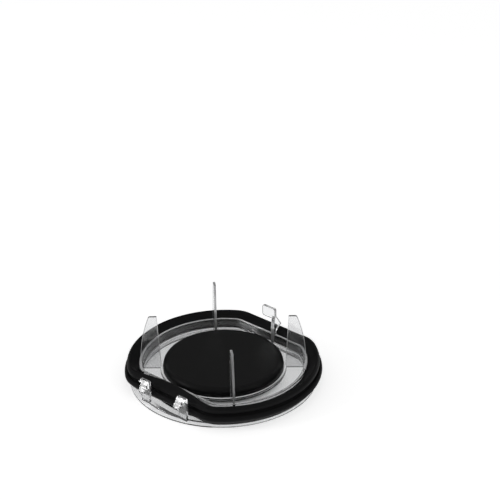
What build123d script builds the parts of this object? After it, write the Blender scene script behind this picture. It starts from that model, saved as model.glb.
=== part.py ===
from build123d import *
import os
from math import asin, atan2, cos, degrees, radians, sin

# Dust bin base: a clear moulded lid with a rubber rim seal and a rubber centre seal.
# Origin: centre of the underside. +Z points up into the bin, the hinge is at -Y, the catch at +Y.

# Flange, the round edge that closes the mouth of the bin
flange_radius = 51.4
flange_thickness = 1.6
edge_step_depth = 2.9
edge_step_height = 0.8
edge_round = 0.3

# Spigot wall, round with one flat on the hinge side and one on the catch side
flange_width = 5.4
wall_thickness = 1.8
wall_height = 9.0
wall_round = 0.4
hinge_flat_depth = 8.4
catch_flat_depth = 6.2
flat_corner = 8.0

# Floor inside the wall, raised above the flange
floor_rise = 4.0
floor_thickness = 2.8

# Centre seal, a rubber pad in a low collar
pad_gap = 1.4
pad_clearance = 0.2
pad_height = 6.6
pad_shoulder = 3.4
pad_crown = 0.5
collar_thickness = 1.2
collar_height = 1.4

# Rim seal, a rubber ring with two lips
seal_clearance = 0.1
foot_reach = 4.8
seal_reach = 8.1
seal_height = 11.3
belly_height = 4.5
lower_lip_height = 6.2
lower_lip_bulge = 1.2
groove_reach = 5.2
groove_height = 1.3
upper_lip_reach = 6.7
upper_lip_bulge = 0.8
upper_lip_width = 1.5
upper_lip_crest = 0.5
seal_valley_drop = 1.0
seal_valley_width = 0.8

# Fins, four radial plates mirrored about both axes
fin_angle = 41.0
fin_thickness = 1.3
fin_height = 32.2
fin_top_start = 35.6
fin_top_width = 4.4
fin_bulge = 1.3
fin_corner = 1.4

# Hinge hooks, each an upright leg with a leaning lip and a round seat for the hinge pin
pin_radius = 1.2
hook_wall = 1.3
hook_width = 6.0
hook_spacing = 26.8
hook_pin_height = 7.5
hook_rise = 5.4
hook_gap = 0.3
hook_round = 0.6
lip_lean = 35.0
lip_length = 1.5
lip_cut_width = 1.8
lip_cut_drop = 1.6

# Catch, a bent arm with a barb and a wide head
arm_width = 2.4
arm_thickness = 2.4
arm_offset = 3.3
barb_gap = 2.1
barb_reach = 4.2
barb_nose = 0.9
barb_slope = 6.2
head_width = 9.3
head_thickness = 1.7
head_height = 6.6
head_drop = 1.7
head_round = 1.3

# Values worked out from the sizes above
wall_radius = flange_radius - flange_width
hinge_flat = wall_radius - hinge_flat_depth
catch_flat = wall_radius - catch_flat_depth
floor_top = flange_thickness + floor_rise
floor_middle = floor_top - floor_thickness / 2
wall_top = flange_thickness + wall_height
seat_low_radius = flange_radius - edge_step_depth - edge_round
seat_high_radius = hinge_flat - wall_thickness
pad_radius = hinge_flat - wall_thickness - pad_gap - collar_thickness - pad_clearance
collar_inner = pad_radius + pad_clearance
collar_outer = collar_inner + collar_thickness
seal_top = flange_thickness + seal_height
fin_top = floor_top + fin_height
hook_root = flange_thickness - edge_step_height
hook_radius = pin_radius + hook_wall
hook_y = -(hinge_flat + seal_reach + hook_gap + hook_radius)
hook_z = flange_thickness + hook_pin_height
hook_top = hook_z + hook_rise
lip_cut_top = hook_top - lip_cut_drop
barb_z = seal_top + barb_gap
head_bottom = barb_z + barb_nose + barb_slope - head_drop
head_top = head_bottom + head_height


def spigot_outline(height, grow):
    """Circle with two flats and rounded corners, grow millimetres outside the spigot wall."""
    with BuildSketch(Plane.XY.offset(height)) as outline:
        Circle(wall_radius + grow)
        with Locations((0, (catch_flat - hinge_flat) / 2)):
            Rectangle(3 * wall_radius, catch_flat + hinge_flat + 2 * grow, mode=Mode.INTERSECT)
        rows = outline.vertices().group_by(Axis.Y)
        fillet(rows[0] + rows[-1], flat_corner + grow)
    return outline.sketch


wall_outside = spigot_outline(flange_thickness, 0)
wall_inside = spigot_outline(floor_top, -wall_thickness)
underside_pocket = spigot_outline(0, -wall_thickness)
seal_path = spigot_outline(flange_thickness, seal_clearance).wires()[0]

# Base plate: flange, floor, wall, collar, fins, hooks and catch in one moulding
with BuildPart() as base_plate:
    # Flange with a stepped edge
    with BuildSketch():
        Circle(flange_radius)
    extrude(amount=flange_thickness - edge_step_height)
    with BuildSketch():
        Circle(flange_radius - edge_step_depth)
    extrude(amount=flange_thickness)
    rims = base_plate.edges().filter_by(GeomType.CIRCLE).group_by(Axis.Z)
    fillet(rims[0] + rims[-1], edge_round)

    # Seat of the rim seal, a shallow cone from the step up to the floor
    with Locations((0, 0, flange_thickness)):
        Cone(seat_low_radius, seat_high_radius, floor_rise, align=(Align.CENTER, Align.CENTER, Align.MIN))

    # Spigot wall and raised floor, hollowed from above and from below
    extrude(wall_outside, amount=wall_height)
    extrude(wall_inside, amount=wall_height, mode=Mode.SUBTRACT)
    extrude(underside_pocket, amount=floor_top - floor_thickness, mode=Mode.SUBTRACT)
    fillet(base_plate.edges().group_by(Axis.Z)[-1], wall_round)

    # Collar round the centre seal
    with BuildSketch(Plane.XY.offset(floor_top)):
        Circle(collar_outer)
        Circle(collar_inner, mode=Mode.SUBTRACT)
    extrude(amount=collar_height)

    # Fins from the collar to the wall, each drawn on its own radial plane
    for angle in (fin_angle, 180 - fin_angle, 180 + fin_angle, -fin_angle):
        turn = radians(angle)
        radial_plane = Plane((0, 0, 0), x_dir=(cos(turn), sin(turn), 0), z_dir=(sin(turn), -cos(turn), 0))
        fin_foot = (collar_inner + collar_thickness / 2, floor_middle)
        fin_heel = (wall_radius - wall_thickness / 2, floor_middle)
        fin_shoulder = (wall_radius - wall_thickness / 2, wall_top)
        fin_top_end = (fin_top_start + fin_top_width, fin_top)
        with BuildSketch(radial_plane) as fin:
            with BuildLine():
                Polyline(fin_top_end, (fin_top_start, fin_top), fin_foot, fin_heel, fin_shoulder)
                SagittaArc(fin_top_end, fin_shoulder, fin_bulge)
            make_face()
            fillet(fin.vertices().group_by(Axis.Y)[-1].sort_by(Axis.X)[-1], fin_corner)
        extrude(amount=fin_thickness / 2, both=True)

    # Hinge hooks on the flange, outside the hinge-side flat
    lean = radians(lip_lean)
    lip_normal = Vector(-cos(lean), sin(lean))
    lip_down = Vector(-sin(lean), -cos(lean))
    seat = Vector(hook_y, hook_z)
    seat_start = seat + Vector(pin_radius, 0)
    seat_middle = seat + Vector(pin_radius, 0).rotate(Axis.Z, (180 - lip_lean) / 2)
    seat_end = seat + lip_normal * pin_radius
    lip_inner_tip = seat_end + lip_down * lip_length
    lip_outer_tip = lip_inner_tip + lip_normal * hook_wall
    top_front = lip_outer_tip - lip_down * ((hook_top - lip_outer_tip.Y) / cos(lean))
    leg_back = hook_y + hook_radius
    for side in (-1, 1):
        with BuildSketch(Plane.YZ.offset(side * hook_spacing / 2)) as hook:
            with BuildLine():
                ThreePointArc(seat_start, seat_middle, seat_end)
                Polyline(
                    seat_end,
                    lip_inner_tip,
                    lip_outer_tip,
                    top_front,
                    (leg_back, hook_top),
                    (leg_back, hook_root),
                    (seat_start.X, hook_root),
                    seat_start,
                )
            make_face()
            fillet(hook.vertices().group_by(Axis.Y)[-1], hook_round)
        extrude(amount=hook_width / 2, both=True)
        # The lip stops short of the hook's outer end
        outer_end = side * (hook_spacing + hook_width) / 2
        with BuildSketch(Plane.XZ.offset(-seat_start.X)):
            with Locations((outer_end - side * lip_cut_width / 2, lip_cut_top)):
                Rectangle(lip_cut_width, lip_cut_top - flange_thickness, align=(Align.CENTER, Align.MAX))
        extrude(amount=2 * hook_radius, mode=Mode.SUBTRACT)

    # Catch arm with its barb, rising from the catch-side flat
    with BuildSketch(Plane.YZ.offset(arm_offset)):
        barb_tip = (catch_flat + barb_reach, barb_z)
        barb_back = (catch_flat + barb_reach, barb_z + barb_nose)
        arm_root = (catch_flat, barb_z - barb_reach)
        with BuildLine():
            RadiusArc(arm_root, barb_tip, barb_reach)
            Polyline(
                barb_tip,
                barb_back,
                (catch_flat, barb_z + barb_nose + barb_slope),
                (catch_flat, head_top),
                (catch_flat - head_thickness, head_top),
                (catch_flat - head_thickness, head_bottom),
                (catch_flat - arm_thickness, barb_z),
                (catch_flat - arm_thickness, floor_middle),
                (catch_flat, floor_middle),
                arm_root,
            )
        make_face()
    extrude(amount=arm_width / 2, both=True)

    # Catch head, a wide plate at the top of the arm
    with BuildSketch(Plane.XZ.offset(-catch_flat)):
        with Locations((arm_offset + arm_width / 2, head_bottom)):
            RectangleRounded(head_width, head_height, head_round, align=(Align.MAX, Align.MIN))
    extrude(amount=head_thickness)

# Rim seal: the two-lipped section carried round the wall
with BuildPart() as rim_seal:
    with BuildSketch(Plane.YZ):
        inside = catch_flat + seal_clearance
        foot = Vector(catch_flat + foot_reach, flange_thickness)
        belly = Vector(catch_flat + seal_reach, flange_thickness + belly_height)
        lower_edge = catch_flat + seal_reach - lower_lip_bulge
        lower_top = flange_thickness + lower_lip_height
        bead_rise = lower_lip_height - belly_height
        bead_radius = (lower_lip_bulge**2 + bead_rise**2) / (2 * lower_lip_bulge)
        to_bead = belly - Vector(bead_radius, 0) - foot
        flank_angle = degrees(atan2(to_bead.Y, to_bead.X) - asin(bead_radius / to_bead.length))
        groove_top = lower_top + groove_height
        upper_edge = catch_flat + upper_lip_reach - upper_lip_bulge
        crest = seal_top - upper_lip_crest
        valley = wall_top - seal_valley_drop
        with BuildLine():
            Line((inside, flange_thickness), foot)
            under_bead = JernArc(belly, (0, -1), bead_radius, flank_angle - 90)
            Line(under_bead @ 1, foot)
            TangentArc(belly, (lower_edge, lower_top), tangent=(0, 1))
            ThreePointArc(
                (lower_edge, lower_top),
                (catch_flat + groove_reach, (lower_top + groove_top) / 2),
                (upper_edge, groove_top),
            )
            ThreePointArc(
                (upper_edge, groove_top),
                (catch_flat + upper_lip_reach, (groove_top + crest) / 2),
                (upper_edge, crest),
            )
            ThreePointArc(
                (upper_edge, crest),
                (upper_edge - upper_lip_width / 2, seal_top),
                (upper_edge - upper_lip_width, crest),
            )
            Polyline(
                (upper_edge - upper_lip_width, crest),
                (inside + seal_valley_width, valley),
                (inside, valley),
                (inside, flange_thickness),
            )
        make_face()
    sweep(path=seal_path)
    # The foot takes the shape of the seat
    with Locations((0, 0, flange_thickness)):
        Cone(
            seat_low_radius,
            seat_high_radius,
            floor_rise,
            align=(Align.CENTER, Align.CENTER, Align.MIN),
            mode=Mode.SUBTRACT,
        )

# Centre seal: a turned pad with a soft shoulder and a slight crown
with BuildPart() as centre_seal:
    with BuildSketch(Plane.XZ):
        shoulder_low = floor_top + pad_height - pad_crown - pad_shoulder
        shoulder_high = floor_top + pad_height - pad_crown
        pad_top = floor_top + pad_height
        crown_reach = pad_radius - pad_shoulder
        crown_radius = (crown_reach**2 + pad_crown**2) / (2 * pad_crown)
        with BuildLine():
            Polyline((0, pad_top), (0, floor_top), (pad_radius, floor_top), (pad_radius, shoulder_low))
            RadiusArc((crown_reach, shoulder_high), (pad_radius, shoulder_low), pad_shoulder)
            RadiusArc((0, pad_top), (crown_reach, shoulder_high), crown_radius)
        make_face()
    revolve(axis=Axis.Z)

base_plate.part.label = "base_plate"
rim_seal.part.label = "rim_seal"
centre_seal.part.label = "centre_seal"

os.makedirs("parts", exist_ok=True)
export_step(base_plate.part, "parts/base_plate.step")
export_step(rim_seal.part, "parts/rim_seal.step")
export_step(centre_seal.part, "parts/centre_seal.step")
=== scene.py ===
"""Finished surfaces for a clear dust bin base with a rubber rim seal and a rubber centre pad.

Every surface is worked out in millimetres round the part's own axis and written to its mesh in metres.
"""

from math import pi, radians
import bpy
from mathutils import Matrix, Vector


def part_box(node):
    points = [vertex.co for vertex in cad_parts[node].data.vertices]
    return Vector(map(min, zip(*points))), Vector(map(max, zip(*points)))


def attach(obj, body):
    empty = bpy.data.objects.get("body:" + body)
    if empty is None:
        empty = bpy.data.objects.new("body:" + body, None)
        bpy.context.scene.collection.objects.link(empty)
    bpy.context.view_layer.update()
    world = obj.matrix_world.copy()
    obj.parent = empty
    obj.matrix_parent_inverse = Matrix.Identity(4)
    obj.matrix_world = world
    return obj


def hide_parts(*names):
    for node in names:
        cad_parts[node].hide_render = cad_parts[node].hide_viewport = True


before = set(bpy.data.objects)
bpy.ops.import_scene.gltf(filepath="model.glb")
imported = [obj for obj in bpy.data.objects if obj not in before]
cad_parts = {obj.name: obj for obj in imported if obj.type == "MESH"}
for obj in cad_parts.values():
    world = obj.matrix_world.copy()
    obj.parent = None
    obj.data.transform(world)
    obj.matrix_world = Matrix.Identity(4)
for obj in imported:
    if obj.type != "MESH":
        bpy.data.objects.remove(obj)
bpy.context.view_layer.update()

from types import SimpleNamespace

import bpy
import numpy as np
from bpy.props import FloatProperty, FloatVectorProperty, PointerProperty
from mathutils import Matrix, Vector

bl_info = {
    "name": "Dust Bin Base",
    "version": (1, 0, 0),
    "blender": (4, 5, 0),
    "location": "View3D > Sidebar > Bin Base",
    "description": "Builds the clear base, its two rubber seals and a plain white stage",
    "category": "Object",
}

BODY = "root"
MILLIMETRE = 0.001
ACROSS = np.array((1.0, 0.0, 0.0))
TO_CATCH = np.array((0.0, 1.0, 0.0))
UPWARDS = np.array((0.0, 0.0, 1.0))

# Marks on the faces of the clear base: how milky a face is, and how grey, partly tint and partly painted
# shade.
FROST = "frost"
TINT_AND_SHADE = "tint_and_shade"
FIN_MARKS = {"edge_frost": 1.0, "face_frost": 0.12, "tint_and_shade": 0.22}
HOOK_MARKS = {"edge_frost": 0.15}
ARM_MARKS = {"edge_frost": 0.9, "face_frost": 0.2}
HEAD_MARKS = {"edge_frost": 0.9}
# Grey of floor, flange and fins is partly tint, partly painted shade; the wall's top is painted shade alone.
FLOOR_TINT_AND_SHADE = 0.35
FLANGE_TINT_AND_SHADE = 0.12
WALL_TOP_PAINTED_SHADE = 1.0

# Steps of the meshes: round the axis, on an arc, on the seal's flank and sole, and on a rounded corner.
TURN_STEPS = 720
ARC_STEPS = 20
FLANK_STEPS = 34
SOLE_STEPS = 6
ROUND_STEPS = 6
TURNS = 2 * pi * np.arange(TURN_STEPS) / TURN_STEPS

# Shading: edges sharper than this angle stay sharp, and large faces count for more than small ones.
SHARP_ANGLE = radians(32)
FACE_WEIGHT = 80

# Limits that keep the sums safe.
LEAST_SINE = 0.1  # the least sine to divide by
STRAIGHT = 0.99999  # cosine past which a corner counts as straight
NO_LENGTH = 1e-9  # the least length to divide by
SAME_POINT = 1e-5  # two points of a line that are closer count as one

# Millimetres that only lay out a mesh and don't show on the finished piece.
SINK = 0.05  # keeps two faces from lying in one plane
SINK_SLOPE = 0.2  # height over which a sunk face comes out again
RECESS_INSET = 6.0  # wall's inside to the innermost loop of the recess
LEVEL_RIM = 4.0  # wall's inside to the last loop of the underside that follows the spigot
SEAT_START = 1.5  # wall to the first loop of the seat
WALL_SKIRT = 1.0  # wall's top down to the first loop of its outside
COLLAR_MARGIN = 0.5  # floor that goes with the collar on its outside
COLLAR_INSET = 2.0  # floor that goes with the collar on its inside
CUT_REACH = 6.0  # how far a hook's cutter reaches outwards
CUT_SPARE = 1.0  # how far it passes the hook's end
HEAD_LAP = 3.0  # how far the arm runs up inside the head
PAD_EYE = 0.1  # radius of the pad's innermost loop
FLOOR_DROP = 0.2  # underside of the part down to the studio floor

# The lean of the seal's upper lip: the power of its height, and the shares of the groove's reach between
# which it sets in.
LEAN_POWER = 1.5
LEAN_REACH = (0.2, 0.7)

# Patterns in the finishes: patches in a metre, levels between which a pattern rises, and what it does to
# tint, dullness and relief. Heights are in metres.
HAZE = SimpleNamespace(patches=45.0, detail=4.0, start=0.45, full=0.75, tint=0.06, dulling=0.04)
FLOW = SimpleNamespace(patches=70.0, detail=1.0, strength=0.05, height=0.0002)
CLOUD = SimpleNamespace(patches=60.0, detail=4.0, start=0.35, full=0.7, tint=0.7, dulling=0.05)
SPECK = SimpleNamespace(patches=900.0, detail=2.0, start=0.68, full=0.78, tint=0.3)
GRAIN = SimpleNamespace(patches=2600.0, detail=2.0, middle=0.5, dulling=0.16, strength=0.25, height=0.00005)
PLASTIC_IOR = 1.585

# Shares of the pad's radius over which the floor's painted shadow under the pad fades out for plastic and
# gloss, and sines of the angle above level between which gloss sees the backdrop brighten.
PAINTED_SHADOW_EDGE = (0.86, 1.0)
BACKDROP_FADE = (0.1, 0.75)


def size(name, description, millimetres):
    """A length that is given here in millimetres and held in metres."""
    return FloatProperty(name=name, description=description, default=millimetres * MILLIMETRE,
                         unit="LENGTH", precision=5, min=0.0)


def angle(name, description, degrees):
    """An angle that is given here in degrees and held in radians."""
    return FloatProperty(name=name, description=description, default=radians(degrees), subtype="ANGLE")


def share(name, description, value):
    """A plain number from nought to one."""
    return FloatProperty(name=name, description=description, default=value, min=0.0, max=1.0,
                         subtype="FACTOR")


def colour(name, description, value):
    """A linear colour."""
    return FloatVectorProperty(name=name, description=description, default=value, size=3, min=0.0,
                               max=1.0, subtype="COLOR")


def position(name, description, metres):
    """A place in metres."""
    return FloatVectorProperty(name=name, description=description, default=metres, size=3,
                               subtype="TRANSLATION")


def measure(name, description, value, unit):
    """A number in a unit of its own: watts for POWER, and millimetres for CAMERA."""
    return FloatProperty(name=name, description=description, default=value, min=0.0, unit=unit)


def frame_box(node):
    """Lowest and highest corner of a node of the frame, in millimetres."""
    return [[float(value) / MILLIMETRE for value in corner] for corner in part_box(node)]


BASE_HIGH = frame_box("base_plate")[1]
SEAL_LOW, SEAL_HIGH = frame_box("rim_seal")
PAD_LOW, PAD_HIGH = frame_box("centre_seal")


class SpigotSizes(bpy.types.PropertyGroup):
    """The upstanding wall: round, with a flat on the hinge side and a flat on the catch side."""

    wall_radius: size("Wall radius", "Outside of the round wall", 46.0)
    hinge_flat: size("Hinge flat", "Axis to the flat on the hinge side", 37.6)
    catch_flat: size("Catch flat", "Axis to the flat on the catch side", 39.8)
    flat_corner: size("Flat corner", "Rounding where a flat meets the round wall", 8.0)
    wall_thickness: size("Wall thickness", "Thickness of the wall", 1.8)
    wall_top: size("Wall top", "Height of the wall above the underside", 10.6)
    wall_round: size("Wall rounding", "Rounding of the wall's top edges", 0.4)


class PlateSizes(bpy.types.PropertyGroup):
    """The flange, the floor and the collar of the clear base."""

    flange_radius: size("Flange radius", "Outside of the flange", BASE_HIGH[0])
    flange_top: size("Flange top", "Upper face of the flange", SEAL_LOW[2])
    ledge_width: size("Ledge width", "Width of the lower ledge round the flange", 2.9)
    ledge_top: size("Ledge top", "Upper face of the ledge", 0.8)
    edge_round: size("Edge rounding", "Rounding of the flange's edges", 0.3)
    root_round: size("Root rounding", "Rounding of inside corners and small edges", 0.15)
    floor_round: size("Floor rounding", "Rounding where the floor meets the wall", 0.8)
    floor_top: size("Floor top", "Upper face of the floor", PAD_LOW[2])
    recess_depth: size("Recess depth", "Depth of the recess in the underside", 2.8)
    collar_inner: size("Collar inside", "Inner radius of the collar round the pad", 33.2)
    collar_outer: size("Collar outside", "Outer radius of the collar round the pad", 34.4)
    collar_top: size("Collar top", "Upper edge of the collar", 7.0)


class FinSizes(bpy.types.PropertyGroup):
    """The four upright fins, each on a plane through the axis."""

    turn: angle("Fin angle", "Angle of each fin from the line across the lid", 41.0)
    thickness: size("Fin thickness", "Thickness of a fin", 1.3)
    foot_radius: size("Fin foot", "Inner end of a fin's foot", 33.8)
    heel_radius: size("Fin heel", "Outer end of a fin's foot, inside the wall", 45.1)
    top: size("Fin top", "Height of a fin's top", BASE_HIGH[2])
    top_start: size("Top start", "Inner end of a fin's top", 35.6)
    top_end: size("Top end", "Outer end of a fin's top", 40.0)
    bulge: size("Bulge", "How far the outer edge bows out", 1.3)
    outer_corner: size("Outer corner", "Rounding of the outer top corner", 1.4)
    inner_corner: size("Inner corner", "Rounding of the inner top corner", 0.5)
    edge_round: size("Edge rounding", "Rounding along a fin's edges", 0.25)


class HookSizes(bpy.types.PropertyGroup):
    """The two hinge hooks, each an upright leg with a leaning lip."""

    spacing: size("Hook spacing", "Distance between the middles of the hooks", 26.8)
    width: size("Hook width", "Width of a hook", 6.0)
    leg_back: size("Leg back", "Axis to the back of the leg", 46.0)
    leg_wall: size("Leg wall", "Thickness of leg and lip", 1.3)
    pin_radius: size("Pin radius", "Radius of the seat for the hinge pin", 1.2)
    pin_height: size("Pin height", "Height of the seat's centre", 9.1)
    top: size("Hook top", "Height of the hook", 14.5)
    lean: angle("Lip lean", "Lean of the lip from upright", 35.0)
    lip_length: size("Lip length", "Lip beyond the seat", 1.5)
    cut_width: size("Cut width", "Outer end of the hook that has no lip", 1.8)
    cut_drop: size("Cut drop", "Height of the stub that stays above the cut", 1.6)
    top_round: size("Top rounding", "Rounding of the top corners", 0.6)
    edge_round: size("Edge rounding", "Rounding along a hook's edges", 0.2)


class CatchSizes(bpy.types.PropertyGroup):
    """The catch: an arm with a barb, and a wide head."""

    arm_offset: size("Arm offset", "Middle of the arm from the middle of the catch flat", 3.3)
    arm_width: size("Arm width", "Width of the arm", 2.4)
    arm_thickness: size("Arm thickness", "Thickness of the arm", 2.4)
    barb_reach: size("Barb reach", "How far the barb stands out of the flat", 4.2)
    barb_height: size("Barb height", "Height of the barb's lower edge", 15.0)
    barb_nose: size("Barb nose", "Height of the barb's blunt nose", 0.9)
    barb_slope: size("Barb slope", "Height of the slope above the barb", 6.2)
    head_width: size("Head width", "Width of the head", 9.3)
    head_thickness: size("Head thickness", "Thickness of the head", 1.7)
    head_bottom: size("Head bottom", "Lower edge of the head", 20.4)
    head_top: size("Head top", "Upper edge of the head", 27.0)
    head_round: size("Head corner", "Rounding of the head's corners", 1.3)
    edge_round: size("Edge rounding", "Rounding along the catch's edges", 0.25)


class SealSizes(bpy.types.PropertyGroup):
    """The section of the rim seal, measured outwards from the wall."""

    clearance: size("Clearance", "Gap between wall and seal", 0.1)
    foot_reach: size("Foot reach", "Outer edge of the seal's foot on the flange", 4.8)
    belly_reach: size("Belly reach", "Widest line of the lower lip", 8.1)
    belly_height: size("Belly height", "Height of the widest line above the flange", 4.5)
    lower_height: size("Lower lip height", "Height of the lower lip above the flange", 6.2)
    lower_bulge: size("Lower lip bulge", "How far the lower lip rounds out", 1.2)
    groove_reach: size("Groove reach", "Bottom of the groove between the lips", 5.2)
    groove_height: size("Groove height", "Height of the groove", 1.3)
    upper_reach: size("Upper lip reach", "Outermost line of the upper lip", 6.7)
    upper_bulge: size("Upper lip bulge", "How far the upper lip rounds out", 0.8)
    upper_width: size("Upper lip width", "Width of the upper lip's crest", 1.5)
    top: size("Seal top", "Height of the upper lip", SEAL_HIGH[2])
    crest: size("Crest", "Height of the rounded crest", 0.5)
    valley_drop: size("Valley drop", "How far the seal starts below the wall's top", 1.0)
    valley_width: size("Valley width", "Width of the flat beside the wall", 0.8)
    plain_round: size("Plain rounding", "Rounding of the other edges", 0.15)
    flat_lean: size("Lean at the flat", "Lean of the upper lip over the middle of the hinge flat", 4.0)


class PadSizes(bpy.types.PropertyGroup):
    """The centre pad, a turned puck with a soft shoulder and a slight crown."""

    radius: size("Pad radius", "Outside of the pad", PAD_HIGH[0])
    top: size("Pad top", "Height of the pad's crown", PAD_HIGH[2])
    shoulder: size("Shoulder", "Radius of the soft shoulder", 3.4)
    crown: size("Crown", "Rise of the top face towards its middle", 0.5)
    foot_round: size("Foot rounding", "Rounding of the lower edge", 0.3)


class FinishSettings(bpy.types.PropertyGroup):
    """Colours and gloss of the plastic and the rubbers."""

    plastic: colour("Plastic", "Tint of the clear plastic where it is thin", (0.98, 0.985, 0.99))
    # The deep colour greys the plastic where a face is marked: partly tint, partly painted shade.
    plastic_grey_and_shade: colour("Deep plastic", "Tint where one looks into the depth of it", (0.25, 0.252, 0.255))
    plastic_roughness: share("Plastic roughness", "Gloss of the clear plastic", 0.02)
    frost: colour("Frost", "Milky light in the plastic's moulded edges", (0.86, 0.865, 0.87))
    frost_cover: share("Frost cover", "How much of a moulded edge looks milky", 0.7)
    frost_roughness: share("Frost roughness", "Gloss of milky plastic", 0.4)
    frost_clarity: share("Frost clarity", "Light that still passes through milky plastic", 0.75)
    seal: colour("Seal", "Rubber of the rim seal", (0.0118, 0.0118, 0.0123))
    seal_bloom: colour("Seal bloom", "Paler bloom on the rim seal", (0.0150, 0.0150, 0.0157))
    seal_roughness: share("Seal roughness", "Gloss of the rim seal", 0.55)
    seal_sheen: share("Seal sheen", "Strength of the rim seal's shine", 0.08)
    pad: colour("Pad", "Rubber of the centre pad", (0.0056, 0.0056, 0.0059))
    pad_bloom: colour("Pad bloom", "Paler bloom on the pad", (0.0078, 0.0078, 0.0083))
    pad_roughness: share("Pad roughness", "Gloss of the pad", 0.42)
    pad_sheen: share("Pad sheen", "Strength of the pad's shine", 0.2)


class StageSettings(bpy.types.PropertyGroup):
    """Camera, floor and light."""

    eye: position("Camera place", "Where the camera stands", (0.47595, -0.51880, 0.43615))
    pitch: angle("Pitch", "How far the camera looks down", 27.0)
    heading: angle("Heading", "Turn of the camera about the upright axis", 41.3)
    roll: angle("Roll", "Lean of the camera about its own axis", -0.6)
    lens: measure("Lens", "Focal length", 108.0, "CAMERA")
    sensor: measure("Sensor", "Width of the sensor", 36.0, "CAMERA")
    floor_size: size("Floor size", "Width of the floor", 6000.0)
    floor: colour("Floor", "Colour of the floor", (0.9, 0.9, 0.9))
    floor_glow: share("Floor glow", "White that the floor shows besides the light on it", 0.65)
    sky: share("Sky", "Soft light level with the part", 0.25)
    zenith: share("Zenith", "Soft light from overhead", 0.55)
    tent: share("Tent", "White that shows through clear plastic", 0.95)
    overhead: share("Overhead", "What glossy surfaces see overhead", 0.4)
    horizon: share("Horizon", "What glossy surfaces see level with them", 0.05)
    key_place: position("Key place", "Where the key lamp stands", (-0.52, -0.63, 0.38))
    key_width: size("Key width", "Width of the key lamp", 200.0)
    key_power: measure("Key power", "Power of the key lamp", 1.0, "POWER")
    fill_place: position("Fill place", "Where the fill lamp stands", (0.75, 0.15, 0.55))
    fill_width: size("Fill width", "Width of the fill lamp", 500.0)
    fill_power: measure("Fill power", "Power of the fill lamp", 0.5, "POWER")


GROUPS = {
    "bin_spigot": SpigotSizes,
    "bin_plate": PlateSizes,
    "bin_fin": FinSizes,
    "bin_hook": HookSizes,
    "bin_catch": CatchSizes,
    "bin_seal": SealSizes,
    "bin_pad": PadSizes,
    "bin_finish": FinishSettings,
    "bin_stage": StageSettings,
}


def settings(name):
    """A group of settings as plain numbers, its lengths in millimetres and its places in metres."""
    group = getattr(bpy.context.scene, name)
    numbers = {}
    for key in type(group).__annotations__:
        value = getattr(group, key)
        is_length = group.bl_rna.properties[key].unit == "LENGTH" and isinstance(value, float)
        numbers[key] = value / MILLIMETRE if is_length else value
    return SimpleNamespace(**numbers)


class Wire:
    """One shader socket. Arithmetic on it adds Math nodes to the same material."""

    def __init__(self, paint, socket):
        self.paint = paint
        self.socket = socket

    def maths(self, operation, first, second):
        return self.paint.node("ShaderNodeMath", {"operation": operation}, {0: first, 1: second})

    def __add__(self, other):
        return self.maths("ADD", self, other)

    def __sub__(self, other):
        return self.maths("SUBTRACT", self, other)

    def __rsub__(self, other):
        return self.maths("SUBTRACT", other, self)

    def __mul__(self, other):
        return self.maths("MULTIPLY", self, other)

    __radd__ = __add__
    __rmul__ = __mul__

    def or_more(self, other):
        """The larger of two values."""
        return self.maths("MAXIMUM", self, other)


class Paint:
    """The node tree of a material or a world, emptied and ready for new nodes."""

    def __init__(self, owner):
        owner.use_nodes = True
        self.tree = owner.node_tree
        self.tree.nodes.clear()

    def node(self, kind, setup=None, inputs=None, output=0):
        """Adds a node, applies its setup, then its values and links, and gives one of its outputs."""
        node = self.tree.nodes.new(kind)
        for name, value in (setup or {}).items():
            setattr(node, name, value)
        for name, value in (inputs or {}).items():
            if isinstance(value, Wire):
                self.tree.links.new(value.socket, node.inputs[name])
            else:
                node.inputs[name].default_value = value
        return Wire(self, node.outputs[output]) if node.outputs else None

    def place(self):
        """Where a point lies on the piece, in metres."""
        return self.node("ShaderNodeTexCoord", output="Object")

    def mark(self, name):
        """A mark of the face that a point lies on."""
        return self.node("ShaderNodeAttribute", {"attribute_name": name}, output="Fac")

    def rise(self, value, low, high):
        """A number that rises from nought at low to one at high."""
        return self.node("ShaderNodeMapRange", {"clamp": True},
                         {"Value": value, "From Min": low, "From Max": high})

    def noise(self, where, pattern):
        """A pattern's soft noise, from nought to one."""
        return self.node("ShaderNodeTexNoise", None,
                         {"Vector": where, "Scale": pattern.patches, "Detail": pattern.detail})

    def patches(self, where, pattern):
        """A pattern's noise, spread between its start and its full level."""
        return self.rise(self.noise(where, pattern), pattern.start, pattern.full)

    def relief(self, level, pattern):
        """A normal that is bent by a pattern's level."""
        return self.node("ShaderNodeBump", None, {"Strength": pattern.strength, "Distance": pattern.height,
                                                  "Height": level})

    def blend(self, amount, first, second):
        """A colour mixed from first to second by amount."""
        return self.node("ShaderNodeMix", {"data_type": "RGBA"},
                         {0: amount, 6: (*first, 1.0), 7: (*second, 1.0)}, output=2)

    def ray(self, kind):
        """One for rays of a kind, such as those that come straight from the camera."""
        return self.node("ShaderNodeLightPath", output=f"Is {kind} Ray")


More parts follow.
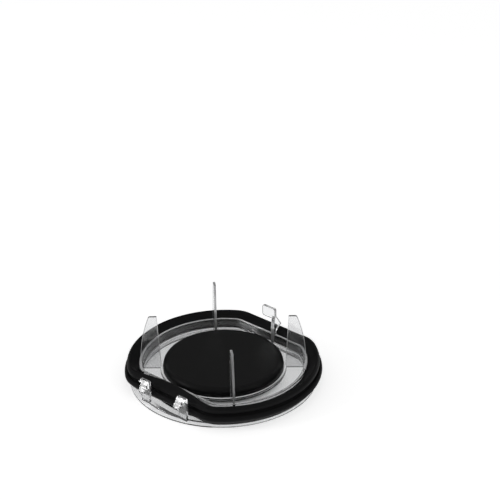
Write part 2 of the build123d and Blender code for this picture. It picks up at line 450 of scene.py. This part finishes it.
def clear_plastic():
    """Clear polycarbonate: greyed by a face mark that is partly tint and partly painted shade, darkest on
    the wall's top; milky at moulded edges, with faint haze and flow marks.
    """
    finish = settings("bin_finish")
    material = bpy.data.materials.new("clear_polycarbonate")
    paint = Paint(material)
    where = paint.place()
    haze = paint.patches(where, HAZE)
    flow = paint.noise(where, FLOW)
    clear = paint.node("ShaderNodeBsdfPrincipled", None, {
        # Grey from a face mark: partly the plastic's tint, partly painted shade.
        "Base Color": paint.blend(paint.mark(TINT_AND_SHADE) + haze * HAZE.tint, finish.plastic, finish.plastic_grey_and_shade),
        "Roughness": finish.plastic_roughness + haze * HAZE.dulling,
        "IOR": PLASTIC_IOR,
        "Transmission Weight": 1.0,
        "Normal": paint.relief(flow, FLOW),
    })
    milky = paint.node("ShaderNodeBsdfPrincipled", None, {
        "Base Color": (*finish.frost, 1.0),
        "Roughness": finish.frost_roughness,
        "IOR": PLASTIC_IOR,
        "Transmission Weight": finish.frost_clarity,
    })
    cover = paint.mark(FROST) * finish.frost_cover
    shader = paint.node("ShaderNodeMixShader", None, {0: cover, 1: clear, 2: milky})
    paint.node("ShaderNodeOutputMaterial", None, {"Surface": shader})
    return material


def rubber(piece):
    """Rubber of the seal or the pad: near-black, with a paler bloom in patches, specks and a fine grain."""
    finish = vars(settings("bin_finish"))
    material = bpy.data.materials.new(f"{piece}_rubber")
    paint = Paint(material)
    where = paint.place()
    cloud = paint.patches(where, CLOUD)
    speck = paint.patches(where, SPECK)
    grain = paint.noise(where, GRAIN)
    bloom = cloud * CLOUD.tint + speck * SPECK.tint
    dulling = (grain - GRAIN.middle) * GRAIN.dulling + cloud * CLOUD.dulling
    shader = paint.node("ShaderNodeBsdfPrincipled", None, {
        "Base Color": paint.blend(bloom, finish[piece], finish[f"{piece}_bloom"]),
        "Roughness": finish[f"{piece}_roughness"] + dulling,
        "Specular IOR Level": finish[f"{piece}_sheen"],
        "Normal": paint.relief(grain, GRAIN),
    })
    paint.node("ShaderNodeOutputMaterial", None, {"Surface": shader})
    return material


def spigot_reach(grow):
    """Distance from the axis to the spigot's outline, one row for each grow and one column for each turn.

    On the round wall it is the wall's radius plus grow. On a flat it is the flat's distance plus grow over
    the sine of the angle. Between them it is where the ray leaves the corner's circle, whose centre lies
    one corner radius inside the wall and the flat, and whose radius takes grow as well.
    """
    spigot = settings("bin_spigot")
    grow = np.asarray(grow, float)[:, None]
    rise = np.arcsin(np.abs(np.sin(TURNS)))[None, :]
    side = np.sign(np.sin(TURNS))[None, :]
    corner = spigot.flat_corner
    reach = spigot.wall_radius + grow + 0.0 * rise
    for flat, flat_side in ((spigot.catch_flat, 1), (spigot.hinge_flat, -1)):
        centre_up = flat - corner
        centre_out = np.sqrt((spigot.wall_radius - corner) ** 2 - centre_up**2)
        along = centre_out * np.cos(rise) + centre_up * np.sin(rise)
        aside = centre_out * np.sin(rise) - centre_up * np.cos(rise)
        on_corner = along + np.sqrt(np.maximum((corner + grow) ** 2 - aside**2, 0.0))
        on_flat = (flat + grow) / np.maximum(np.sin(rise), LEAST_SINE)
        past_wall = (side == flat_side) & (rise > np.arctan2(centre_up, centre_out))
        past_corner = past_wall & (rise > np.arctan2(flat + grow, centre_out))
        reach = np.where(past_corner, on_flat, np.where(past_wall, on_corner, reach))
    return reach


def seat_height(reach):
    """Height of the flange's upper face at a distance from the axis.

    It is level at the flange's edge. From the rounding of its step it rises evenly inwards, as a cone, and
    comes to the floor's height at the inside of the hinge flat.
    """
    plate, spigot = settings("bin_plate"), settings("bin_spigot")
    low = plate.flange_radius - plate.ledge_width - plate.edge_round
    high = spigot.hinge_flat - spigot.wall_thickness
    return np.interp(reach, (high, low), (plate.floor_top, plate.flange_top))


def arc(start, middle, end):
    """Points on the circle through three points, from the first past the second to the third.

    The points are complex numbers: with w the third over the second, both taken from the first, the centre
    is the first plus the second times (w less its squared length) over (w less its conjugate). The arc
    turns the first point about the centre.
    """
    first, second, third = (complex(*point) for point in (start, middle, end))
    w = (third - first) / (second - first)
    centre = first + (second - first) * (w - abs(w) ** 2) / (w - w.conjugate())
    sweep = np.angle((second - centre) / (first - centre)) + np.angle((third - centre) / (second - centre))
    points = centre + (first - centre) * np.exp(1j * sweep * np.linspace(0, 1, ARC_STEPS))
    return np.stack([points.real, points.imag], axis=1)


def rounded(corners, radii, closed=True):
    """A line through corners in which each corner is replaced by an arc of its own radius.

    An arc starts and ends at radius over the tangent of half the corner's angle from the corner. Its points
    are the two spokes from its centre, weighted by sines so that they stay on the circle. The ends of an
    open line stay where they are.
    """
    points = np.asarray(corners, float)
    radius = np.broadcast_to(np.asarray(radii, float), len(points))[:, None]
    to_before = np.roll(points, 1, axis=0) - points
    to_after = np.roll(points, -1, axis=0) - points
    to_before /= np.linalg.norm(to_before, axis=1, keepdims=True)
    to_after /= np.linalg.norm(to_after, axis=1, keepdims=True)
    half = np.arccos(np.clip((to_before * to_after).sum(1), -STRAIGHT, STRAIGHT))[:, None] / 2
    bisector = to_before + to_after
    bisector /= np.maximum(np.linalg.norm(bisector, axis=1, keepdims=True), NO_LENGTH)
    to_centre = bisector * radius / np.sin(half)
    spoke_in = to_before * radius / np.tan(half) - to_centre
    spoke_out = to_after * radius / np.tan(half) - to_centre
    sweep = pi - 2 * half
    part = np.linspace(0, 1, ROUND_STEPS)[None, :]
    weight_in = (np.sin((1 - part) * sweep) / np.sin(sweep))[..., None]
    weight_out = (np.sin(part * sweep) / np.sin(sweep))[..., None]
    arcs = (points + to_centre)[:, None] + weight_in * spoke_in[:, None] + weight_out * spoke_out[:, None]
    if not closed:
        arcs[0], arcs[-1] = points[0], points[-1]
    line = arcs.reshape(-1, 2)
    step = np.linalg.norm(line - np.roll(line, 1, axis=0), axis=1)
    return line[step > SAME_POINT]


def grid_faces(rows, columns, rows_close):
    """Quads between neighbouring points of a grid whose columns close, and whose rows close if asked."""
    row = np.arange(rows if rows_close else rows - 1)[:, None]
    column = np.arange(columns)[None, :]
    next_row, next_column = (row + 1) % rows, (column + 1) % columns
    corners = (row * columns + column, row * columns + next_column,
               next_row * columns + next_column, next_row * columns + column)
    return np.stack(corners, axis=-1).reshape(-1, 4).tolist()


def turned_skin(reach, height, rows_close=False, **row_marks):
    """A skin of loops about the upright axis, as points, faces and the marks of each band above a row.

    A point lies at reach times the cosine and the sine of its column's angle, at its own height. Rows run
    from the underside outwards and up, so that the faces look outwards. Where the rows don't close, the
    first and the last loop are filled by fans to points on the axis.
    """
    rows, columns = reach.shape
    loops = np.stack([reach * np.cos(TURNS), reach * np.sin(TURNS), height + 0.0 * reach], axis=-1)
    points = loops.reshape(-1, 3)
    faces = grid_faces(rows, columns, rows_close)
    marks = {name: np.repeat(values, columns) for name, values in row_marks.items()}
    if not rows_close:
        column = np.arange(columns)
        next_column = (column + 1) % columns
        low_pole, high_pole = np.full(columns, len(points)), np.full(columns, len(points) + 1)
        last_row = (rows - 1) * columns
        points = np.vstack([points, (0, 0, height[0, 0]), (0, 0, height[-1, 0])])
        faces += np.stack([low_pole, next_column, column], axis=1).tolist()
        faces += np.stack([high_pole, last_row + column, last_row + next_column], axis=1).tolist()
        marks = {name: np.concatenate([values, values[-columns:]]) for name, values in marks.items()}
    return points, faces, marks


def plate_skin(outline, thickness, edge_round, origin, along, up, edge_frost=0.0, face_frost=0.0,
               tint_and_shade=0.0):
    """A flat plate with rounded edges, as points, faces, and the frost and the grey of each face, partly
    tint and partly painted shade.

    The outline is carried through the plate's thickness. Near each face it moves inwards by edge_round
    times one less the sine of an angle, while its level follows the cosine, so the edge is a quarter circle.
    """
    after = np.roll(outline, -1, axis=0)
    if np.sum(outline[:, 0] * after[:, 1] - after[:, 0] * outline[:, 1]) < 0:
        outline = outline[::-1]
        after = np.roll(outline, -1, axis=0)
    ahead = after - outline
    ahead /= np.linalg.norm(ahead, axis=1, keepdims=True)
    behind = np.roll(ahead, 1, axis=0)
    inwards = np.stack([-(ahead + behind)[:, 1], (ahead + behind)[:, 0]], axis=1)
    inwards /= 1 + (ahead * behind).sum(1, keepdims=True)
    swing = np.linspace(0, pi / 2, ROUND_STEPS)
    inset = edge_round * (1 - np.sin(swing))
    level = thickness / 2 - edge_round * (1 - np.cos(swing))
    inset = np.concatenate([inset, inset[::-1]])
    level = np.concatenate([-level, level[::-1]])
    loops = outline + inset[:, None, None] * inwards
    points = (np.asarray(origin, float) + loops[..., :1] * along + loops[..., 1:] * up
              + level[:, None, None] * np.cross(along, up))
    rows, columns = len(inset), len(outline)
    faces = grid_faces(rows, columns, False)
    faces.append(np.arange(columns)[::-1].tolist())
    faces.append(np.arange((rows - 1) * columns, rows * columns).tolist())
    frost = np.full(len(faces), edge_frost)
    frost[-2:] = face_frost
    return points.reshape(-1, 3), faces, {FROST: frost, TINT_AND_SHADE: np.full(len(faces), tint_and_shade)}


def box_skin(low, high):
    """A plain box between two corners, as points, faces and their marks."""
    low, high = np.minimum(low, high), np.maximum(low, high)
    outline = np.array([low[:2], (high[0], low[1]), high[:2], (low[0], high[1])])
    middle = (0, 0, (low[2] + high[2]) / 2)
    return plate_skin(outline, high[2] - low[2], 0.0, middle, ACROSS, TO_CATCH)


def new_piece(name, skin):
    """A mesh object in metres from points in millimetres, faces and their marks, kept as face attributes."""
    points, faces, marks = skin
    mesh = bpy.data.meshes.new(name)
    mesh.from_pydata((points * MILLIMETRE).tolist(), [], faces)
    for mark, values in marks.items():
        mesh.attributes.new(mark, "FLOAT", "FACE").data.foreach_set("value", values)
    mesh.validate()
    piece = bpy.data.objects.new(name, mesh)
    bpy.context.scene.collection.objects.link(piece)
    return piece


def settle(piece):
    """Puts the result of a piece's modifiers into its mesh and takes the modifiers away."""
    graph = bpy.context.evaluated_depsgraph_get()
    mesh = bpy.data.meshes.new_from_object(piece.evaluated_get(graph))
    piece.modifiers.clear()
    piece.data = mesh
    mesh.name = piece.name
    if not mesh.polygons:
        raise RuntimeError(f"{piece.name} came out empty")


def combine(piece, tools, operation):
    """Joins tools to a piece or cuts them out of it, and takes the tools away."""
    group = bpy.data.collections.new(f"{piece.name}_tools")
    for tool in tools:
        group.objects.link(tool)
    joint = piece.modifiers.new("combine", "BOOLEAN")
    joint.operation = operation
    joint.solver = "EXACT"
    joint.operand_type = "COLLECTION"
    joint.collection = group
    settle(piece)
    for tool in tools:
        bpy.data.objects.remove(tool)
    bpy.data.collections.remove(group)


def finish_piece(piece, material, node):
    """Smooths a piece, gives it its finish, and puts it in the place of its node."""
    piece.data.shade_smooth()
    piece.data.set_sharp_from_angle(angle=SHARP_ANGLE)
    even = piece.modifiers.new("even_shading", "WEIGHTED_NORMAL")
    even.keep_sharp = True
    even.weight = FACE_WEIGHT
    settle(piece)
    piece.data.materials.clear()
    piece.data.materials.append(material)
    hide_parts(node)
    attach(piece, BODY)


def plate_body():
    """Flange, floor, wall and collar as one closed skin of loops, from the recess below to the floor above.

    Recess, seat and wall keep their own distance from the spigot's outline, flange and collar are circles,
    and the seat takes its height from the cone of the flange.
    """
    plate, spigot = settings("bin_plate"), settings("bin_spigot")
    wall, small = -spigot.wall_thickness, plate.root_round
    upper_edge = plate.flange_radius - plate.ledge_width
    recess = rounded([(wall - RECESS_INSET, plate.recess_depth), (wall, plate.recess_depth), (wall, 0),
                      (wall + LEVEL_RIM, 0)], small, closed=False)
    flange = rounded([(upper_edge, 0), (plate.flange_radius, 0), (plate.flange_radius, plate.ledge_top),
                      (upper_edge, plate.ledge_top), (upper_edge, plate.flange_top),
                      (upper_edge - plate.edge_round, plate.flange_top)],
                     [0, plate.edge_round, small, small, plate.edge_round, 0], closed=False)
    seat = spigot_reach([SEAT_START, small, 0])
    ring = rounded([(0, spigot.wall_top - WALL_SKIRT), (0, spigot.wall_top), (wall, spigot.wall_top),
                    (wall, plate.floor_top), (wall - plate.floor_round - SINK, plate.floor_top)],
                   [0, spigot.wall_round, spigot.wall_round, plate.floor_round, 0], closed=False)
    collar = rounded([(plate.collar_outer + COLLAR_MARGIN, plate.floor_top),
                      (plate.collar_outer, plate.floor_top), (plate.collar_outer, plate.collar_top),
                      (plate.collar_inner, plate.collar_top), (plate.collar_inner, plate.floor_top),
                      (plate.collar_inner - COLLAR_INSET, plate.floor_top)], small, closed=False)
    circle = np.ones((1, TURN_STEPS))
    reach = np.vstack([spigot_reach(recess[:, 0]), flange[:, :1] * circle, seat,
                       spigot_reach(ring[:, 0]), collar[:, :1] * circle])
    height = np.vstack([recess[:, 1:] * circle, flange[:, 1:] * circle,
                        seat_height(seat) + np.array([[0], [0], [small]]),
                        ring[:, 1:] * circle, collar[:, 1:] * circle])
    # The wall's top takes the full grey, a painted shade; floor and flange greys are partly tint, partly
    # painted shade.
    on_top = ring[:, 1] > spigot.wall_top - spigot.wall_round
    tint_and_shade = np.concatenate([np.full(len(recess), FLOOR_TINT_AND_SHADE),
                            np.full(len(flange) + len(seat), FLANGE_TINT_AND_SHADE),
                            np.where(on_top, WALL_TOP_PAINTED_SHADE, FLOOR_TINT_AND_SHADE),
                            np.full(len(collar), FLOOR_TINT_AND_SHADE)])
    return turned_skin(reach, height, **{TINT_AND_SHADE: tint_and_shade})


def fin_plates():
    """The four fins: a straight inner edge, a short top and an outer edge on a shallow circle."""
    fin, plate, spigot = settings("bin_fin"), settings("bin_plate"), settings("bin_spigot")
    shoulder = np.array((fin.heel_radius, spigot.wall_top))
    top_end = np.array((fin.top_end, fin.top))
    chord = (top_end - shoulder) / np.linalg.norm(top_end - shoulder)
    bowed = (shoulder + top_end) / 2 + fin.bulge * np.array((chord[1], -chord[0]))
    outer_edge = arc(shoulder, bowed, top_end)
    root = (plate.recess_depth + plate.floor_top) / 2
    corners = np.vstack([(fin.foot_radius, root), (fin.heel_radius, root), outer_edge,
                         (fin.top_start, fin.top)])
    radii = np.zeros(len(corners))
    radii[-2:] = fin.outer_corner, fin.inner_corner
    outline = rounded(corners, radii)
    turns = np.array((fin.turn, pi - fin.turn, pi + fin.turn, -fin.turn))
    return [plate_skin(outline, fin.thickness, fin.edge_round, (0, 0, 0),
                       np.array((np.cos(turn), np.sin(turn), 0.0)), UPWARDS, **FIN_MARKS)
            for turn in turns]


def hook_plates():
    """The two hooks and the boxes that cut the outer end off each lip.

    A hook's outline runs up the back of its leg, over the top, down the leaning lip, round the lip's tip, up
    to the seat, over the seat's arc and down the front of the leg.
    """
    hook, plate = settings("bin_hook"), settings("bin_plate")
    seat = np.array((-hook.leg_back - hook.leg_wall - hook.pin_radius, hook.pin_height))
    lip_normal = np.array((-np.cos(hook.lean), np.sin(hook.lean)))
    lip_down = np.array((-np.sin(hook.lean), -np.cos(hook.lean)))
    half_way = (pi - hook.lean) / 2
    seat_arc = arc(seat + hook.pin_radius * lip_normal,
                   seat + hook.pin_radius * np.array((np.cos(half_way), np.sin(half_way))),
                   seat + np.array((hook.pin_radius, 0)))
    inner_tip = seat_arc[0] + hook.lip_length * lip_down
    outer_tip = inner_tip + hook.leg_wall * lip_normal
    top_front = outer_tip - lip_down * (hook.top - outer_tip[1]) / np.cos(hook.lean)
    root = plate.ledge_top / 2
    corners = np.vstack([(-hook.leg_back, root), (-hook.leg_back, hook.top), top_front, outer_tip, inner_tip,
                         seat_arc, (seat_arc[-1, 0], root)])
    radii = np.zeros(len(corners))
    radii[1:5] = hook.top_round, hook.top_round, hook.edge_round, hook.edge_round
    outline = rounded(corners, radii)
    plates, cutters = [], []
    for side in (-1, 1):
        middle = side * hook.spacing / 2
        outer_end = side * (hook.spacing + hook.width) / 2
        front = seat_arc[-1, 0] - SINK
        plates.append(plate_skin(outline, hook.width, hook.edge_round, (middle, 0, 0), TO_CATCH, UPWARDS,
                                 **HOOK_MARKS))
        cutters.append(box_skin((outer_end - side * hook.cut_width, front, plate.flange_top),
                                (outer_end + side * CUT_SPARE, front - CUT_REACH,
                                 hook.top - hook.cut_drop)))
    return plates, cutters


def catch_plates():
    """The catch's arm and head. The barb's underside is a quarter circle out of the wall."""
    catch, plate, spigot = settings("bin_catch"), settings("bin_plate"), settings("bin_spigot")
    face = spigot.catch_flat
    back = face - catch.arm_thickness
    root = (plate.recess_depth + plate.floor_top) / 2
    reach, slope_start = catch.barb_reach, catch.barb_height + catch.barb_nose
    bend = np.array((face + reach, catch.barb_height - reach))
    diagonal = np.array((-1.0, 1.0)) / np.sqrt(2)
    under = arc(bend - (reach, 0), bend + reach * diagonal, bend + (0, reach))
    corners = np.vstack([(back, root), (face - SINK, root), (face - SINK, under[0, 1] - SINK_SLOPE), under,
                         (face + reach, slope_start), (face, slope_start + catch.barb_slope),
                         (face - SINK, catch.head_bottom + HEAD_LAP),
                         (face - catch.head_thickness + SINK, catch.head_bottom + HEAD_LAP),
                         (face - catch.head_thickness, catch.head_bottom), (back, catch.barb_height)])
    outline = rounded(corners, 0.0)
    arm = plate_skin(outline, catch.arm_width - 2 * SINK, catch.edge_round, (catch.arm_offset, 0, 0),
                     TO_CATCH, UPWARDS, **ARM_MARKS)
    right = catch.arm_offset + catch.arm_width / 2
    left = right - catch.head_width
    head_outline = rounded([(left, catch.head_bottom), (right, catch.head_bottom), (right, catch.head_top),
                            (left, catch.head_top)], catch.head_round)
    head = plate_skin(head_outline, catch.head_thickness, catch.edge_round,
                      (0, face - catch.head_thickness / 2, 0), ACROSS, UPWARDS, **HEAD_MARKS)
    return [arm, head]


def seal_skin():
    """The rim seal: a section with two lips, carried round the spigot at its own distance from the wall.

    The lower lip is a round bead, and its flank runs straight from the foot to touch the bead. The angle of
    the flank is that of the line from the foot to the bead's centre, less the angle whose sine is the bead's
    radius over that line's length. Points that would lie below the seat are lifted onto it.

    Along the hinge flat nothing stretches the upper lip outwards, so it leans in. The lean is full at the
    flat's middle and falls as a cosine to nought at its corners. It grows with a power of the height above
    the groove, and sets in away from the wall.
    """
    seal, spigot, plate = settings("bin_seal"), settings("bin_spigot"), settings("bin_plate")
    bottom = plate.flange_top
    foot = np.array((seal.foot_reach, bottom))
    lower_edge = seal.belly_reach - seal.lower_bulge
    lower_top = bottom + seal.lower_height
    bead_rise = seal.lower_height - seal.belly_height
    bead_radius = (seal.lower_bulge**2 + bead_rise**2) / (2 * seal.lower_bulge)
    bead = np.array((seal.belly_reach - bead_radius, bottom + seal.belly_height))
    to_bead = bead - foot
    flank_turn = np.arctan2(to_bead[1], to_bead[0]) - np.arcsin(bead_radius / np.linalg.norm(to_bead))
    touch = bead + bead_radius * np.array((np.sin(flank_turn), -np.cos(flank_turn)))
    groove_top = lower_top + seal.groove_height
    upper_edge = seal.upper_reach - seal.upper_bulge
    crest = seal.top - seal.crest
    valley = spigot.wall_top - seal.valley_drop
    sole = np.linspace((seal.clearance, bottom), foot, SOLE_STEPS)
    flank = np.linspace(foot, touch, FLANK_STEPS)
    lower_lip = arc(touch, bead + (bead_radius, 0), (lower_edge, lower_top))
    groove = arc((lower_edge, lower_top), (seal.groove_reach, (lower_top + groove_top) / 2),
                 (upper_edge, groove_top))
    upper_lip = arc((upper_edge, groove_top), (seal.upper_reach, (groove_top + crest) / 2),
                    (upper_edge, crest))
    top = arc((upper_edge, crest), (upper_edge - seal.upper_width / 2, seal.top),
              (upper_edge - seal.upper_width, crest))
    corners = np.vstack([sole, flank[1:], lower_lip[1:], groove[1:], upper_lip[1:], top[1:],
                         (seal.clearance + seal.valley_width, valley), (seal.clearance, valley)])
    radii = np.zeros(len(corners))
    radii[-2:] = seal.plain_round
    section = rounded(corners, radii)
    reach = spigot_reach(section[:, 0])
    height = np.maximum(section[:, 1:], seat_height(reach) + SINK)
    corner = spigot.flat_corner
    half_flat = np.sqrt((spigot.wall_radius - corner) ** 2 - (spigot.hinge_flat - corner) ** 2)
    along_flat = spigot.hinge_flat * np.cos(TURNS) / np.maximum(-np.sin(TURNS), LEAST_SINE) / half_flat
    from_middle = np.where(np.sin(TURNS) < 0, np.clip(along_flat, -1, 1), 1)
    above_groove = np.clip((section[:, 1:] - groove_top) / (seal.top - groove_top), 0, 1)
    off_wall = np.interp(section[:, :1] / seal.groove_reach, LEAN_REACH, (0, 1))
    reach -= seal.flat_lean * np.cos(from_middle * pi / 2) * above_groove**LEAN_POWER * off_wall
    return turned_skin(reach, height, rows_close=True)


def pad_skin():
    """The centre pad: a section turned about the axis, with a quarter-circle shoulder and a shallow crown.

    The crown is part of a sphere, whose radius is the squares of the crown's reach and rise, added and
    divided by twice the rise.
    """
    pad, plate = settings("bin_pad"), settings("bin_plate")
    shoulder_top = pad.top - pad.crown
    inner = pad.radius - pad.shoulder
    bend = np.array((inner, shoulder_top - pad.shoulder))
    diagonal = np.ones(2) / np.sqrt(2)
    shoulder = arc(bend + (pad.shoulder, 0), bend + pad.shoulder * diagonal, bend + (0, pad.shoulder))
    crown_radius = (inner**2 + pad.crown**2) / (2 * pad.crown)
    crown_reach = np.linspace(inner, 0, ARC_STEPS)[1:-1]
    crown = pad.top - crown_radius + np.sqrt(crown_radius**2 - crown_reach**2)
    section = np.vstack([(inner, plate.floor_top), (pad.radius, plate.floor_top), shoulder,
                         np.stack([crown_reach, crown], axis=1), (PAD_EYE, pad.top)])
    radii = np.zeros(len(section))
    radii[1] = pad.foot_round
    section = rounded(section, radii, closed=False)
    return turned_skin(section[:, :1] * np.ones((1, TURN_STEPS)), section[:, 1:])


class BuildClearBase(bpy.types.Operator):
    """Builds the clear moulding: flange, floor, wall, collar, fins, hooks and catch in one piece"""

    bl_idname = "bin_base.clear_base"
    bl_label = "Clear base"

    def execute(self, context):
        hooks, cutters = hook_plates()
        tools = [new_piece(f"hook_{side}", skin) for side, skin in zip(("left", "right"), hooks)]
        for tool, cutter in zip(tools, cutters):
            combine(tool, [new_piece(f"{tool.name}_cut", cutter)], "DIFFERENCE")
        tools += [new_piece(f"fin_{number}", skin) for number, skin in enumerate(fin_plates())]
        tools += [new_piece(f"catch_{number}", skin) for number, skin in enumerate(catch_plates())]
        base = new_piece("clear_base", plate_body())
        combine(base, tools, "UNION")
        finish_piece(base, clear_plastic(), "base_plate")
        return {"FINISHED"}


class BuildRimSeal(bpy.types.Operator):
    """Builds the two-lipped rubber ring round the wall"""

    bl_idname = "bin_base.rim_seal"
    bl_label = "Rim seal"

    def execute(self, context):
        finish_piece(new_piece("rim_seal_ring", seal_skin()), rubber("seal"), "rim_seal")
        return {"FINISHED"}


class BuildCentrePad(bpy.types.Operator):
    """Builds the rubber pad in the middle of the floor"""

    bl_idname = "bin_base.centre_pad"
    bl_label = "Centre pad"

    def execute(self, context):
        finish_piece(new_piece("centre_pad", pad_skin()), rubber("pad"), "centre_seal")
        return {"FINISHED"}


def floor_material(stage):
    """White floor that takes light and shadow, and glows a little.

    Under the pad only the camera sees the glow: for plastic and gloss it is a painted shadow, fading out
    from the pad's edge outwards.
    """
    material = bpy.data.materials.new("studio_floor")
    paint = Paint(material)
    pad_radius = settings("bin_pad").radius * MILLIMETRE
    reach = paint.node("ShaderNodeVectorMath", {"operation": "LENGTH"}, {0: paint.place()}, output="Value")
    # Painted shadow: plastic and gloss see no floor glow under the pad.
    outside_painted_shadow = paint.rise(reach, *(edge * pad_radius for edge in PAINTED_SHADOW_EDGE))
    lit = paint.node("ShaderNodeBsdfDiffuse", None, {"Color": (*stage.floor, 1.0)})
    seen = paint.ray("Camera").or_more(paint.ray("Glossy").or_more(paint.ray("Transmission")) * outside_painted_shadow)
    glow = paint.node("ShaderNodeEmission", None, {"Strength": seen * stage.floor_glow})
    shader = paint.node("ShaderNodeAddShader", None, {0: lit, 1: glow})
    paint.node("ShaderNodeOutputMaterial", None, {"Surface": shader})
    return material


def studio_sky(stage):
    """Soft light, brighter overhead. Clear plastic shows white, and gloss sees it fade towards the side."""
    world = bpy.data.worlds.new("studio_sky")
    paint = Paint(world)
    direction = paint.node("ShaderNodeTexCoord", output="Generated")
    height = paint.node("ShaderNodeSeparateXYZ", None, {0: direction}, output="Z")
    sky = stage.sky + paint.rise(height, 0.0, 1.0) * (stage.zenith - stage.sky)
    backdrop = stage.horizon + paint.rise(height, *BACKDROP_FADE) * (stage.overhead - stage.horizon)
    camera, glossy, passing = paint.ray("Camera"), paint.ray("Glossy"), paint.ray("Transmission")
    mirrored = sky + glossy * (backdrop - sky)
    strength = camera.or_more(mirrored + passing * (stage.tent - mirrored))
    light = paint.node("ShaderNodeBackground", None, {"Strength": strength})
    paint.node("ShaderNodeOutputWorld", None, {"Surface": light})
    return world


def soft_lamp(name, place, width, power):
    """A square lamp at a place in metres, with a width in millimetres, that faces the part."""
    lamp = bpy.data.lights.new(name, "AREA")
    lamp.shape = "SQUARE"
    lamp.size = width * MILLIMETRE
    lamp.energy = power
    holder = bpy.data.objects.new(name, lamp)
    holder.location = place
    holder.rotation_euler = (-Vector(place)).to_track_quat("-Z", "Y").to_euler()
    bpy.context.scene.collection.objects.link(holder)
    return holder


class BuildStage(bpy.types.Operator):
    """Builds the white floor, the soft light and the camera"""

    bl_idname = "bin_base.stage"
    bl_label = "Stage"

    def execute(self, context):
        scene = context.scene
        stage = settings("bin_stage")
        half = stage.floor_size / 2
        corners = np.array([(-half, -half), (half, -half), (half, half), (-half, half)])
        floor_points = np.column_stack([corners, np.full(len(corners), -FLOOR_DROP)])
        floor = new_piece("studio_floor", (floor_points, [[0, 1, 2, 3]], {}))
        floor.data.materials.append(floor_material(stage))
        key = soft_lamp("key_lamp", stage.key_place, stage.key_width, stage.key_power)
        fill = soft_lamp("fill_lamp", stage.fill_place, stage.fill_width, stage.fill_power)
        lens = bpy.data.cameras.new("camera")
        lens.lens = stage.lens
        lens.sensor_width = stage.sensor
        camera = bpy.data.objects.new("camera", lens)
        camera.matrix_world = (Matrix.Translation(stage.eye) @ Matrix.Rotation(stage.heading, 4, "Z")
                               @ Matrix.Rotation(pi / 2 - stage.pitch, 4, "X")
                               @ Matrix.Rotation(stage.roll, 4, "Z"))
        scene.collection.objects.link(camera)
        scene.camera = camera
        scene.world = studio_sky(stage)
        scene.view_settings.view_transform = "Standard"
        return {"FINISHED"}


class BinBasePanel(bpy.types.Panel):
    """Lists the pieces of the bin base in the sidebar"""

    bl_idname = "VIEW3D_PT_bin_base"
    bl_label = "Bin Base"
    bl_space_type = "VIEW_3D"
    bl_region_type = "UI"
    bl_category = "Bin Base"

    def draw(self, context):
        for operator in OPERATORS:
            self.layout.operator(operator.bl_idname)
        for name, group_type in GROUPS.items():
            group = getattr(context.scene, name)
            column = self.layout.column(align=True)
            for key in group_type.__annotations__:
                column.prop(group, key)


OPERATORS = (BuildClearBase, BuildRimSeal, BuildCentrePad, BuildStage)
CLASSES = (*GROUPS.values(), *OPERATORS, BinBasePanel)


def register():
    """Makes the settings, the operators and the panel known."""
    for kind in CLASSES:
        bpy.utils.register_class(kind)
    for name, group_type in GROUPS.items():
        setattr(bpy.types.Scene, name, PointerProperty(type=group_type))


def unregister():
    """Takes away what register added, last things first."""
    for name in GROUPS:
        delattr(bpy.types.Scene, name)
    for kind in reversed(CLASSES):
        bpy.utils.unregister_class(kind)


def main():
    """Builds everything in order."""
    register()
    bpy.ops.bin_base.clear_base()
    bpy.ops.bin_base.rim_seal()
    bpy.ops.bin_base.centre_pad()
    bpy.ops.bin_base.stage()


if __name__ == "__main__":
    main()
